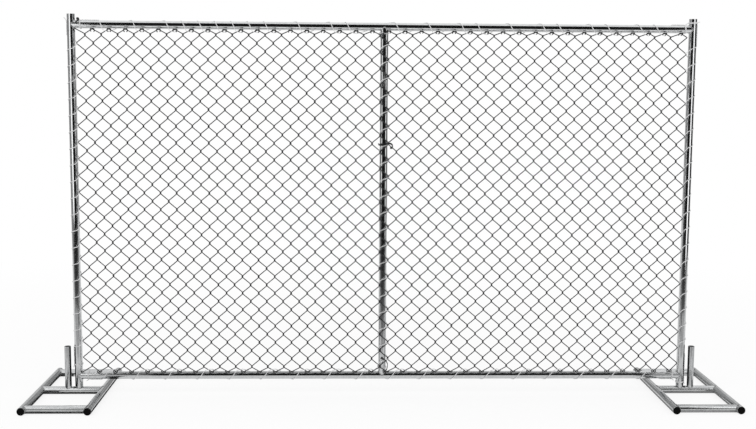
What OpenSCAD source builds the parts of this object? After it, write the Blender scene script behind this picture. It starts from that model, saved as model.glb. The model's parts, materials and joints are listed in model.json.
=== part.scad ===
// Temporary fence panel: a pipe frame with laced chain-link mesh, standing on two pipe stands.
// The origin is on the ground under the middle of the panel, +X to the right, -Y to the front.

/* [Frame] */
// Width of the frame over the outer faces of its posts
panel_w = 3048; // [2400:1:3700]
// Length of each post, from its open lower end to its top
post_l = 1829; // [1500:1:2500]
// Outside diameter of every pipe of the frame and of the stands
tube_d = 38; // [34:0.5:48]
// Wall of every pipe of the frame and of the stands
tube_wall = 1.6; // [1.2:0.1:2.6]
// Length of the leg below the axis of the bottom rail
leg_l = 57; // [50:1:150]
// Length of the post above the axis of the top rail
head_l = 50; // [40:1:120]

/* [Chain-link mesh] */
// Diameter of the mesh wire
mesh_wire = 3; // [2:0.1:4]
// Number of diamonds across the mesh, odd so that no edge bend meets the brace
mesh_across = 15; // [9:2:15]
// Number of diamonds up the mesh
mesh_up = 9; // [5:1:9]
// Gap between the edge bends of the mesh and the inner face of a post
mesh_side_gap = 2.5; // [2.2:0.1:8]
// How far the edge bends of the mesh lie over the rails
mesh_lap = 5; // [2:0.5:12]

/* [Lacing] */
// Diameter of the lacing wire
lace_wire = 3; // [2:0.1:4]
// How far past an edge bend a turn of the lacing goes through the mesh
lace_catch = 16; // [14:0.5:24]

/* [Stand] */
// Overall length of a stand over its end plugs
stand_l = 762; // [500:1:1200]
// Distance between the axes of the two long pipes of a stand
stand_pitch = 308; // [200:1:500]
// Distance from the axis of the leg out to the middle of the stand
stand_offset = 33; // [10:1:60]
// Distance of the front and rear cross tubes from the ends of the long pipes
cross_inset = 36; // [30:1:120]

/* [Spigots] */
// Distance between the axes of the panel spigot and the free spigot
spigot_pitch = 53; // [50:1:90]
// Height of the spigots above the crown of the cross tube
spigot_h = 204; // [100:1:240]
// Wall of the spigots
spigot_wall = 2; // [1.5:0.1:4]
// Play between a spigot and the bore of the leg on it, on each side
spigot_play = 1.4; // [0.8:0.1:2]
// Height of the weld round the foot of a free spigot, above the crown of the cross tube
weld_h = 3; // [2:0.5:8]
// Thickness of that weld, less than the play, so that a leg still goes over it
weld_t = 1; // [0.3:0.1:1.2]

/* [End plugs] */
// Thickness of the head of a plug
plug_head_t = 3; // [2:0.1:6]
// Step from the outside of the pipe in to the rim of the head
plug_step = 1; // [0.6:0.1:3]
// Bevel round the head
plug_bevel = 0.8; // [0.3:0.1:1.5]
// Length of the sleeve inside the pipe
plug_sleeve_l = 16; // [8:1:40]
// Wall of the sleeve
plug_sleeve_wall = 2; // [1:0.1:4]
// Play between the sleeve and the bore of the pipe
plug_play = 0.1; // [0.05:0.05:0.3]

/* [Fits] */
// Gap left between pieces that rest on or turn in each other
seat_gap = 0.3; // [0.2:0.05:0.6]

/* [Hidden] */
$fn = 64;

zinc_grey = "#b4b6b6";
stand_grey = "#a6a8a8";
mesh_grey = "#8c8e8e";
lace_white = "#d8dada";
plug_black = "#121212";

// Pipe and spigot radii
tube_r = tube_d / 2;
bore_r = tube_r - tube_wall;
spigot_r = bore_r - spigot_play;

// Places of the frame's axes: the legs stand just over the crowns of the cross tubes
post_x = panel_w / 2 - tube_r;
post_foot_z = tube_d + seat_gap;
post_top_z = post_foot_z + post_l;
bottom_rail_z = post_foot_z + leg_l;
top_rail_z = post_top_z - head_l;

// Mesh: half pitches of the diamonds between the outermost bends
mesh_half_w = post_x - tube_r - mesh_side_gap;
mesh_top_z = top_rail_z - tube_r + mesh_lap;
mesh_foot_z = bottom_rail_z + tube_r - mesh_lap;
half_pitch_x = mesh_half_w / mesh_across;
half_pitch_z = (mesh_top_z - mesh_foot_z) / (2 * mesh_up);
mesh_back_y = -tube_r - seat_gap;
// Steps from the middle of a wire to the corner of its bend, sideways and upwards
bend_reach = sqrt(half_pitch_x ^ 2 + half_pitch_z ^ 2) * mesh_wire / 2;
bend_step_x = bend_reach / half_pitch_z;
bend_step_z = bend_reach / half_pitch_x;

// Lacing: each turn has eight corners round the pipe, and four sides round the wire
turn_corners = 8;
wire_sides = 4;
// Corners left off the last turn, so that the wire ends behind the pipe
spare_corners = 2;
lace_r = (tube_r + seat_gap + lace_wire / 2) / cos(180 / turn_corners);
lace_near = lace_r * sin(180 / turn_corners);
lace_far = lace_r * cos(180 / turn_corners);
lace_front = -mesh_back_y + mesh_wire + seat_gap + lace_wire / 2;
rail_catch = tube_r - mesh_lap + lace_catch;
post_catch = tube_r + mesh_side_gap + lace_catch;
// Share of a turn's pitch that the wire has climbed at each of its eight corners
climb_shares = [0, 0.09, 0.19, 0.22, 0.30, 0.48, 0.68, 0.90];
// Share of the pitch at which a turn goes through the mesh, and crosses the face of the brace
catch_share = 0.2;
cross_share = 0.14;

// Stand: long pipes between the plug heads, all axes one radius above the ground
side_tube_l = stand_l - 2 * plug_head_t;
cross_y = side_tube_l / 2 - cross_inset;
outer_x = stand_offset + stand_pitch / 2;
inner_x = stand_offset - stand_pitch / 2;
spigot_top_z = tube_d + spigot_h;
panel_spigot_foot_z = tube_r - sqrt(bore_r ^ 2 - spigot_r ^ 2) + seat_gap;
plug_head_r = tube_r - plug_step;
plug_sleeve_r = bore_r - plug_play;
// Overrun of every cut past the faces that it goes through
overrun = tube_d;

// A pipe along Z, from its lower end
module pipe(length, radius, wall) {
    difference() {
        cylinder(h = length, r = radius);
        translate([0, 0, -overrun])
            cylinder(h = length + 2 * overrun, r = radius - wall);
    }
}

// A pipe along X, centred
module pipe_along_x(length) {
    rotate([0, 90, 0])
        translate([0, 0, -length / 2])
            pipe(length, tube_r, tube_wall);
}

// The outside of a pipe, longer than the pipe at both ends, used as the cutter of a coped end
module cope_along_x(length) {
    rotate([0, 90, 0])
        translate([0, 0, -length / 2 - overrun])
            cylinder(h = length + 2 * overrun, r = tube_r);
}
module cope_along_y(length) {
    rotate([90, 0, 0])
        translate([0, 0, -length / 2 - overrun])
            cylinder(h = length + 2 * overrun, r = tube_r);
}
module cope_along_z(foot, length) {
    translate([0, 0, foot - overrun])
        cylinder(h = length + 2 * overrun, r = tube_r);
}

// Frame
module post(x) {
    translate([x, 0, post_foot_z])
        pipe(post_l, tube_r, tube_wall);
}

module rail(z) {
    difference() {
        translate([0, 0, z])
            pipe_along_x(2 * post_x);
        for (x = [-post_x, post_x])
            translate([x, 0, 0])
                cope_along_z(post_foot_z, post_l);
    }
}

module left_post() {
    color(zinc_grey) post(-post_x);
}

module right_post() {
    color(zinc_grey) post(post_x);
}

module top_rail() {
    color(zinc_grey) rail(top_rail_z);
}

module bottom_rail() {
    color(zinc_grey) rail(bottom_rail_z);
}

module centre_brace() {
    color(zinc_grey)
        difference() {
            translate([0, 0, bottom_rail_z])
                pipe(top_rail_z - bottom_rail_z, tube_r, tube_wall);
            for (z = [bottom_rail_z, top_rail_z])
                translate([0, 0, z])
                    cope_along_x(2 * post_x);
        }
}

// Mesh: bends lie where column and row numbers add up to an even number, from the lower left corner
function bend(column, row) = [
    column * half_pitch_x - mesh_half_w,
    row * half_pitch_z + mesh_foot_z
];

columns = 2 * mesh_across;
rows = 2 * mesh_up;

// The zigzag outline of the whole mesh, one wire's half width outside its outermost bends
mesh_outline = concat(
    [for (c = [0 : columns]) bend(c, c % 2) - [0, bend_step_z]],
    [for (r = [0 : rows]) bend(columns - r % 2, r) + [bend_step_x, 0]],
    [for (c = [columns : -1 : 0]) bend(c, rows - c % 2) + [0, bend_step_z]],
    [for (r = [rows : -1 : 0]) bend(r % 2, r) - [bend_step_x, 0]]
);

// The opening of one diamond about the middle of its four bends
module diamond(column, row) {
    polygon([
        bend(column - 1, row) + [bend_step_x, 0],
        bend(column, row - 1) + [0, bend_step_z],
        bend(column + 1, row) - [bend_step_x, 0],
        bend(column, row + 1) - [0, bend_step_z]
    ]);
}

module chain_link_mesh() {
    color(mesh_grey)
        translate([0, mesh_back_y, 0])
            rotate([90, 0, 0])
                linear_extrude(height = mesh_wire)
                    difference() {
                        polygon(mesh_outline);
                        for (c = [1 : columns - 1])
                            for (r = [1 + c % 2 : 2 : rows - 1])
                                diamond(c, r);
                    }
}

// Lacing. A turn's corners are [towards the mesh, to the rear], from the side away from the mesh,
// over the front of pipe and mesh, through the mesh and back behind the pipe.
function edge_turn(catch) = [
    [-lace_far, -lace_near],
    [-lace_near, -lace_front],
    [catch, -lace_front],
    [catch, -lace_near],
    [catch, lace_near],
    [lace_near, lace_far],
    [-lace_near, lace_far],
    [-lace_far, lace_near]
];

// The brace has mesh at both sides, so its turns go through the mesh on either side of it
function brace_turn(catch) = [
    [-catch, -lace_near],
    [-catch, -lace_front],
    [catch, -lace_front],
    [catch, -lace_near],
    [catch, lace_near],
    [lace_near, lace_far],
    [-lace_near, lace_far],
    [-catch, lace_near]
];

// Points of the wire's middle line: along is the way it travels, across the way to the mesh
function lace_path(turn, count, pitch, start, along, across, axis_point) = [
    for (i = [0 : count * turn_corners - spare_corners - 1])
        let (
            corner = turn[i % turn_corners],
            climb = floor(i / turn_corners) + climb_shares[i % turn_corners]
        )
        axis_point + along * (start + climb * pitch) + across * corner[0] + [0, corner[1], 0]
];

function unit(v) = v / norm(v);

// Direction of the path at a point, as the mean of the stretches before and after it
function heading(path, i) =
    let (
        last = len(path) - 1,
        before = i > 0 ? unit(path[i] - path[i - 1]) : [0, 0, 0],
        after = i < last ? unit(path[i + 1] - path[i]) : [0, 0, 0]
    )
    unit(before + after);

// A vector less its share along a direction, brought back to unit length
function square_to(v, direction) = unit(v - direction * (v * direction));

// Side directions of the wire's section along the path, carried from point to point without twist
function side_directions(path, first) = [
    for (
        i = 0, side = square_to(first, heading(path, 0));
        i < len(path);
        i = i + 1, side = i < len(path) ? square_to(side, heading(path, i)) : side
    )
        side
];

// Corners of the wire's section at a point
function wire_ring(path, i, side) =
    let (up = cross(heading(path, i), side))
    [
        for (s = [0 : wire_sides - 1])
            let (turn = 360 * (s + 1 / 2) / wire_sides)
            path[i] + (side * cos(turn) + up * sin(turn)) * lace_wire / 2
    ];

// Least distance between stretches of the wire that don't follow each other, less the wire itself
function least_gap(path) = min([
    for (i = [0 : len(path) - 3])
        for (j = [i + 2 : len(path) - 1])
            norm(path[i] - path[j])
]) - lace_wire;

// One unbroken wire swept along its path, with flat ends
module wire(path, first_side) {
    rings = len(path);
    sides = side_directions(path, first_side);
    points = [for (i = [0 : rings - 1]) each wire_ring(path, i, sides[i])];
    skin = [
        for (i = [0 : rings - 2])
            for (s = [0 : wire_sides - 1])
                let (
                    a = i * wire_sides + s,
                    b = i * wire_sides + (s + 1) % wire_sides
                )
                each [[a, a + wire_sides, b], [b, a + wire_sides, b + wire_sides]]
    ];
    first_end = [for (s = [1 : wire_sides - 2]) [0, s, s + 1]];
    last = (rings - 1) * wire_sides;
    last_end = [for (s = [1 : wire_sides - 2]) [last, last + s + 1, last + s]];
    polyhedron(points = points, faces = concat(skin, first_end, last_end));
}

module lacing(name, turn, count, pitch, first_bend, share, along, across, axis_point) {
    path = lace_path(turn, count, pitch, first_bend - share * pitch, along, across, axis_point);
    echo(str(name, ": least gap of the wire to itself ", least_gap(path), " mm"));
    color(lace_white) wire(path, across);
}

module top_lacing_wire() {
    lacing(
        "top_lacing_wire", edge_turn(rail_catch), mesh_across - 1, 2 * half_pitch_x,
        2 * half_pitch_x - mesh_half_w, catch_share, [1, 0, 0], [0, 0, -1], [0, 0, top_rail_z]
    );
}

module bottom_lacing_wire() {
    lacing(
        "bottom_lacing_wire", edge_turn(rail_catch), mesh_across - 1, 2 * half_pitch_x,
        2 * half_pitch_x - mesh_half_w, catch_share, [1, 0, 0], [0, 0, 1], [0, 0, bottom_rail_z]
    );
}

module left_lacing_wire() {
    lacing(
        "left_lacing_wire", edge_turn(post_catch), mesh_up - 1, 2 * half_pitch_z,
        2 * half_pitch_z, catch_share, [0, 0, 1], [1, 0, 0], [-post_x, 0, mesh_foot_z]
    );
}

module right_lacing_wire() {
    lacing(
        "right_lacing_wire", edge_turn(post_catch), mesh_up - 1, 2 * half_pitch_z,
        2 * half_pitch_z, catch_share, [0, 0, -1], [-1, 0, 0], [post_x, 0, mesh_top_z]
    );
}

module centre_lacing_wire() {
    lacing(
        "centre_lacing_wire", brace_turn(rail_catch), mesh_up, 2 * half_pitch_z,
        half_pitch_z, cross_share, [0, 0, 1], [1, 0, 0], [0, 0, mesh_foot_z]
    );
}

// Stand, about the axis of the leg, with the outside of the fence towards +X
module side_tube(x) {
    translate([x, side_tube_l / 2, tube_r])
        rotate([90, 0, 0])
            pipe(side_tube_l, tube_r, tube_wall);
}

module cross_tube(y) {
    difference() {
        translate([stand_offset, y, tube_r])
            pipe_along_x(stand_pitch);
        for (x = [inner_x, outer_x])
            translate([x, 0, tube_r])
                cope_along_y(side_tube_l);
    }
}

// The middle cross tube has a round hole in its upper wall, where the panel spigot stands
module middle_tube() {
    difference() {
        cross_tube(0);
        translate([0, 0, tube_r])
            cylinder(h = tube_d, r = spigot_r + seat_gap);
    }
}

module panel_spigot() {
    translate([0, 0, panel_spigot_foot_z])
        pipe(spigot_top_z - panel_spigot_foot_z, spigot_r, spigot_wall);
}

// The free spigot has a weld round its foot, and its open top waits for the next leg
module free_spigot() {
    difference() {
        translate([spigot_pitch, 0, 0])
            rotate_extrude()
                polygon([
                    [spigot_r - spigot_wall, tube_r],
                    [spigot_r + weld_t, tube_r],
                    [spigot_r + weld_t, tube_d + weld_h - weld_t],
                    [spigot_r, tube_d + weld_h],
                    [spigot_r, spigot_top_z],
                    [spigot_r - spigot_wall, spigot_top_z]
                ]);
        translate([stand_offset, 0, tube_r])
            cope_along_x(stand_pitch);
    }
}

// A plug about Z: a bevelled head outside the pipe's end, and a hollow sleeve inside it
module plug() {
    rotate_extrude()
        polygon([
            [0, plug_head_t],
            [plug_head_r - plug_bevel, plug_head_t],
            [plug_head_r, plug_head_t - plug_bevel],
            [plug_head_r, 0],
            [plug_sleeve_r, 0],
            [plug_sleeve_r, -plug_sleeve_l],
            [plug_sleeve_r - plug_sleeve_wall, -plug_sleeve_l],
            [plug_sleeve_r - plug_sleeve_wall, 0],
            [0, 0]
        ]);
}

module end_plugs() {
    for (x = [inner_x, outer_x])
        for (end = [0, 180])
            translate([x, 0, tube_r])
                rotate([0, 0, end])
                    translate([0, -side_tube_l / 2, 0])
                        rotate([90, 0, 0])
                            plug();
}

module at_right_leg() {
    translate([post_x, 0, 0])
        children();
}

module at_left_leg() {
    mirror([1, 0, 0])
        at_right_leg()
            children();
}

module left_stand_outer_rail() {
    color(stand_grey) at_left_leg() side_tube(outer_x);
}

module left_stand_inner_rail() {
    color(stand_grey) at_left_leg() side_tube(inner_x);
}

module left_stand_front_cross_tube() {
    color(stand_grey) at_left_leg() cross_tube(-cross_y);
}

module left_stand_middle_cross_tube() {
    color(stand_grey) at_left_leg() middle_tube();
}

module left_stand_rear_cross_tube() {
    color(stand_grey) at_left_leg() cross_tube(cross_y);
}

module left_stand_panel_spigot() {
    color(zinc_grey) at_left_leg() panel_spigot();
}

module left_stand_free_spigot() {
    color(zinc_grey) at_left_leg() free_spigot();
}

module left_stand_end_plugs() {
    color(plug_black) at_left_leg() end_plugs();
}

module right_stand_outer_rail() {
    color(stand_grey) at_right_leg() side_tube(outer_x);
}

module right_stand_inner_rail() {
    color(stand_grey) at_right_leg() side_tube(inner_x);
}

module right_stand_front_cross_tube() {
    color(stand_grey) at_right_leg() cross_tube(-cross_y);
}

module right_stand_middle_cross_tube() {
    color(stand_grey) at_right_leg() middle_tube();
}

module right_stand_rear_cross_tube() {
    color(stand_grey) at_right_leg() cross_tube(cross_y);
}

module right_stand_panel_spigot() {
    color(zinc_grey) at_right_leg() panel_spigot();
}

module right_stand_free_spigot() {
    color(zinc_grey) at_right_leg() free_spigot();
}

module right_stand_end_plugs() {
    color(plug_black) at_right_leg() end_plugs();
}

left_post();
right_post();
top_rail();
bottom_rail();
centre_brace();
chain_link_mesh();
top_lacing_wire();
bottom_lacing_wire();
left_lacing_wire();
right_lacing_wire();
centre_lacing_wire();
left_stand_outer_rail();
left_stand_inner_rail();
left_stand_front_cross_tube();
left_stand_middle_cross_tube();
left_stand_rear_cross_tube();
left_stand_panel_spigot();
left_stand_free_spigot();
left_stand_end_plugs();
right_stand_outer_rail();
right_stand_inner_rail();
right_stand_front_cross_tube();
right_stand_middle_cross_tube();
right_stand_rear_cross_tube();
right_stand_panel_spigot();
right_stand_free_spigot();
right_stand_end_plugs();
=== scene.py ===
"""Looks of the temporary fence panel: pipe frame, woven chain-link mesh, lacing wires, welds and stands.

Lengths are in metres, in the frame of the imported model: +X to the right along the fence, -Y to the front, +Z up.
Every round form is a grid of points worked out with numpy: a ring of points carried along an axis or a path.
"""

import json
import logging
import math
from collections.abc import Iterable, Iterator, Sequence
from dataclasses import dataclass
from enum import Enum

import bpy
import numpy as np
from mathutils import Matrix, Vector

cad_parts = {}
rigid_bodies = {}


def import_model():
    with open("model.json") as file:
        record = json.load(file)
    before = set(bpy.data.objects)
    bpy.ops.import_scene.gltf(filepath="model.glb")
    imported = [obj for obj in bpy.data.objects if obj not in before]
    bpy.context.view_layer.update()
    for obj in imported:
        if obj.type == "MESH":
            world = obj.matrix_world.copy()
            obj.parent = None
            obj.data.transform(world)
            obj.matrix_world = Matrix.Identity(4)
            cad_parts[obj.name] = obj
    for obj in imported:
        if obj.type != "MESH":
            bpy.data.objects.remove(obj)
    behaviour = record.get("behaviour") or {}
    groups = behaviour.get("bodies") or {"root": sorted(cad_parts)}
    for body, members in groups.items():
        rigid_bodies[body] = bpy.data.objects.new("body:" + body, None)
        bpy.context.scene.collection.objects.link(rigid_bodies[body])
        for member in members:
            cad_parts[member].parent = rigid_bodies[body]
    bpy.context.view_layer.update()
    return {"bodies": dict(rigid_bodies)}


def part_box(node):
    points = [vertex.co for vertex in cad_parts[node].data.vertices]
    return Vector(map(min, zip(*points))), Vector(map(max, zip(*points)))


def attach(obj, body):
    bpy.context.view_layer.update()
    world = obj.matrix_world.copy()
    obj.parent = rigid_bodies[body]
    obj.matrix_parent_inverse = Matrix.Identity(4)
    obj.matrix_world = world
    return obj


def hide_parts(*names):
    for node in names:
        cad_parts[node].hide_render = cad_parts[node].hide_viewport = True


LOG = logging.getLogger("fence_panel")
TURN = 2 * math.pi
WHITE = (1, 1, 1, 1)
PIPE_WALL = 0.0016  # wall of the pipes of the frame and the stands
PIPE_CREASE, WIRE_CREASE = math.radians(38), math.radians(70)  # angles from which an edge is sharp
Array = np.ndarray
Triple = tuple[float, float, float]  # a place, a direction or a colour
Object = bpy.types.Object
Socket = bpy.types.NodeSocket
Sockets = bpy.types.bpy_prop_collection


# Meshes from grids of points


def circle(angle: Array) -> Array:
    """Points of the unit circle: cosine and sine of each angle."""
    return np.stack([np.cos(angle), np.sin(angle)], -1)


def unit(vectors: Array) -> Array:
    """The vectors of the last axis at length one."""
    return vectors / np.maximum(np.linalg.norm(vectors, axis=-1, keepdims=True), 1e-12)


def lengths(path: Array) -> Array:
    """Length of each path from its start to each of its points, which lie on the last axis but one."""
    return np.cumsum(np.linalg.norm(np.diff(path, axis=-2, prepend=path[..., :1, :]), axis=-1), -1)


class Axis(Enum):
    """Direction of a straight pipe."""

    X = 0
    Y = 1
    Z = 2

    def rim(self, angle: Array) -> Array:
        """Directions across this axis: cosine and sine of each angle on the next two axes."""
        return np.roll(np.insert(circle(angle), 0, 0.0, axis=1), self.value, axis=1)


class Side(Enum):
    """One end of the fence panel, with the sign of its outward direction."""

    LEFT = -1
    RIGHT = 1

    @property
    def word(self) -> str:
        """The side's word in node and body names."""
        return self.name.lower()


@dataclass(frozen=True)
class Patch:
    """Points with the quads between them."""

    points: Array  # (n, 3) places
    quads: Array  # (m, 4) indices of each quad's corners, counter-clockwise from outside
    uv: Array  # (m, 4, 2) surface coordinates of each corner, in metres round and along the form


def tube_patch(points: Array, uv: Array, closed: bool) -> Patch:
    """Joins the rings of one or more tubes into quads.

    Each ring and the next are joined corner by corner. A closed tube's last ring joins its first one, and an open
    tube's two ends are closed by flat rows of quads across the end ring.

    Args:
        points: (tubes, rings, sides, 3) places, each ring counter-clockwise about the tube's direction
        uv: (tubes, rings, sides + 1, 2) surface coordinates, with the seam given twice
        closed: whether the last ring joins the first

    Returns:
        The patch of all tubes.
    """
    tubes, rings, sides = points.shape[:3]
    tube = np.arange(tubes)[:, None, None]
    ring = np.arange(rings if closed else rings - 1)[None, :, None]
    side = np.arange(sides)[None, None, :]
    base, after, beside = tube * rings * sides, (ring + 1) % rings, (side + 1) % sides
    here, there = base + ring * sides, base + after * sides
    corners = np.broadcast_arrays(here + side, here + beside, there + beside, there + side)
    quads = np.stack(corners, -1).reshape(-1, 4)
    around = uv[tube, ring, side], uv[tube, ring, side + 1], uv[tube, after, side + 1], uv[tube, after, side]
    loops = np.stack(around, -2).reshape(-1, 4, 2)
    if not closed:
        k = np.arange(sides // 2 - 1)
        row = np.stack([k, k + 1, sides - 2 - k, sides - 1 - k], -1)
        first = (base[:, 0] + row.ravel()).reshape(-1, 4)[:, ::-1]
        last = (base[:, 0] + (rings - 1) * sides + row.ravel()).reshape(-1, 4)
        quads = np.concatenate([quads, first, last])
        loops = np.concatenate([loops, *(uv[:, end][:, row].reshape(-1, 4, 2) for end in (0, rings - 1))])
    return Patch(points.reshape(-1, 3), quads, loops)


def sweep(path: Array, side: Array, radius: Array | float, sides: int, closed: bool = False) -> Patch:
    """Carries a circle along one or more paths.

    The circle lies square to the path: one of its axes is the side direction with its share along the path taken
    off, and the other is the cross product of the path's direction with the first.

    Args:
        path: (tubes, rings, 3) centres of the rings
        side: directions that broadcast to the path, none along it
        radius: radius of each ring, one number or a value for each ring
        sides: number of corners of a ring, an even number
        closed: whether the path ends where it starts, with its first point given once

    Returns:
        The patch of all tubes.
    """
    way = np.roll(path, -1, 1) - np.roll(path, 1, 1) if closed else np.gradient(path, axis=1)
    tangent = unit(way)
    first = unit(side - np.sum(side * tangent, -1, keepdims=True) * tangent)
    second = np.cross(tangent, first)
    angle = np.arange(sides + 1) * TURN / sides
    ring = first[:, :, None] * np.cos(angle)[:, None] + second[:, :, None] * np.sin(angle)[:, None]
    points = path[:, :, None] + np.broadcast_to(radius, path.shape[:2])[..., None, None] * ring
    uv = np.stack(np.broadcast_arrays(angle * np.mean(radius), lengths(path)[..., None]), -1)
    return tube_patch(points[:, :, :sides], uv, closed)


def spread(points: Array, count: int = 0, spacing: float = 1.0) -> Array:
    """Places at even distances along the straight lines through the points.

    Args:
        points: (n, axes) places
        count: number of places, or 0 to take it from the spacing
        spacing: distance between the places, if the count is 0

    Returns:
        (count, axes) places.
    """
    length = lengths(points)
    even = np.linspace(0, length[-1], count or int(length[-1] / spacing))
    return np.stack([np.interp(even, length, places) for places in points.T], -1)


def eased_path(points: Array, spacing: float, passes: int = 4) -> Array:
    """A path through the points at even spacing, smoothed by a short moving mean.

    Args:
        points: (n, 3) places that the path joins by straight lines
        spacing: distance between the path's points
        passes: how often the mean of each point, counted twice, and its two neighbours is taken

    Returns:
        (m, 3) places.
    """
    path = spread(points, spacing=spacing)
    for _ in range(passes):
        padded = np.concatenate([path[:1], path, path[-1:]])
        path = (padded[:-2] + padded[1:-1] * 2 + padded[2:]) / 4
    return path


@dataclass(frozen=True)
class Cut:
    """End of a pipe: flat, or coped to sit on a crossing pipe of equal axis height."""

    place: float  # where the flat end, or the crossing pipe's axis, lies along the pipe
    crossing: Axis | None = None  # direction of the crossing pipe, or None for a flat end
    radius: float = 0.0  # radius of the crossing pipe

    def along(self, axis: Axis, ring: Array, inward: int) -> Array:
        """Where the end lies along the pipe, at each point of a ring.

        A coped end follows the crossing pipe's face: its distance from that pipe's axis is the square root of
        the crossing radius squared less the point's height over the plane of both axes squared.

        Args:
            axis: direction of the pipe
            ring: (n, 3) places of the ring's points from the pipe's axis
            inward: sign of the direction from this end into the pipe

        Returns:
            Places along the pipe.
        """
        if self.crossing is None:
            return np.full(len(ring), self.place)
        height = ring[:, 3 - axis.value - self.crossing.value]
        return self.place + inward * np.sqrt(np.maximum(self.radius**2 - height**2, 0.0))


@dataclass(frozen=True)
class Pipe:
    """A straight pipe with a bore."""

    axis: Axis  # direction of the pipe
    centre: Triple  # a point on its axis
    radius: float  # outside radius
    start: Cut  # the end at the lower place along the axis
    end: Cut  # the other end
    wall: float = PIPE_WALL  # thickness of the wall
    bevel: float = 0.0005  # bevel round the outer edge of a flat end
    sides: int = 72  # number of facets round the pipe

    @property
    def ends(self) -> tuple[tuple[Cut, int], tuple[Cut, int]]:
        """Both ends, each with the sign of the direction from it into the pipe."""
        return (self.start, 1), (self.end, -1)

    def ring(self, rim: Array, radius: float, cut: Cut, inward: int) -> Array:
        """Points round the axis that follow one of the pipe's ends.

        Args:
            rim: (n, 3) directions of the points from the axis
            radius: distance of the points from the axis
            cut: the end
            inward: sign of the direction from the end into the pipe

        Returns:
            (n, 3) places.
        """
        found = np.array(self.centre, float) + radius * rim
        found[:, self.axis.value] = cut.along(self.axis, radius * rim, inward)
        return found

    def patch(self) -> Patch:
        """The pipe's outer wall, bore and rims as one closed ring of rings.

        A point of a ring lies at the radius times cosine and sine of its angle across the axis, and along the axis
        where the ring's end says. The rings go out along the wall and back through the bore.

        Returns:
            The pipe's patch.
        """
        angle = np.linspace(0, TURN, self.sides + 1)
        rim = self.axis.rim(angle)
        edges, bores = [], []
        for cut, inward in self.ends:
            depths = 0.0, self.bevel, self.wall
            edge, lip, bore = (self.ring(rim, self.radius - depth, cut, inward) for depth in depths)
            if cut.crossing is None:
                edge[:, self.axis.value] += inward * self.bevel
            edges.append([edge, lip] if cut.crossing is None else [edge])
            bores.append(bore)
        points = np.array([*edges[0][::-1], *edges[1], *bores[::-1]])[None]
        uv = np.stack(np.broadcast_arrays(angle * self.radius, points[..., self.axis.value]), -1)
        return tube_patch(points[:, :, :-1], uv, closed=True)


@dataclass(frozen=True)
class Bead:
    """A weld bead round the coped end of a pipe."""

    size: float = 0.0022  # mean radius of the bead
    lift: float = 0.0004  # how far its middle stands off the two pipes' corner
    ripple: float = 0.07  # share by which each ripple swells and thins
    ripples: int = 36  # number of ripples round the joint
    waver: float = 0.12  # share by which the whole bead wavers
    wavers: int = 5  # number of waverings round the joint
    steps: int = 216  # number of rings round the joint
    sides: int = 8  # corners of a ring

    def patch(self, pipe: Pipe, cut: Cut, inward: int) -> Patch:
        """The bead at one end.

        Its path goes round the pipe at the pipe's radius and follows the cope. Its thickness swells and thins with
        the sine of the ripple count times the angle, and with a slower sine.

        Args:
            pipe: the coped pipe
            cut: the coped end
            inward: sign of the direction from the end into the pipe

        Returns:
            The bead's patch.
        """
        angle = np.arange(self.steps) * TURN / self.steps
        rim = pipe.axis.rim(angle)
        path = pipe.ring(rim, pipe.radius, cut, inward) + rim * self.lift
        path[:, pipe.axis.value] += inward * self.lift
        ripple = self.ripple * np.sin(self.ripples * angle)
        waver = self.waver * np.sin(self.wavers * angle + pipe.radius / self.size)
        return sweep(path[None], rim[None], self.size * (1 + ripple + waver)[None], self.sides, closed=True)

    def patches(self, pipes: Iterable[Pipe]) -> list[Patch]:
        """The beads at all coped ends of the pipes."""
        ends = [(pipe, *end) for pipe in pipes for end in pipe.ends if end[0].crossing is not None]
        return [self.patch(*end) for end in ends]


# Shader node groups and finishes


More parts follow.
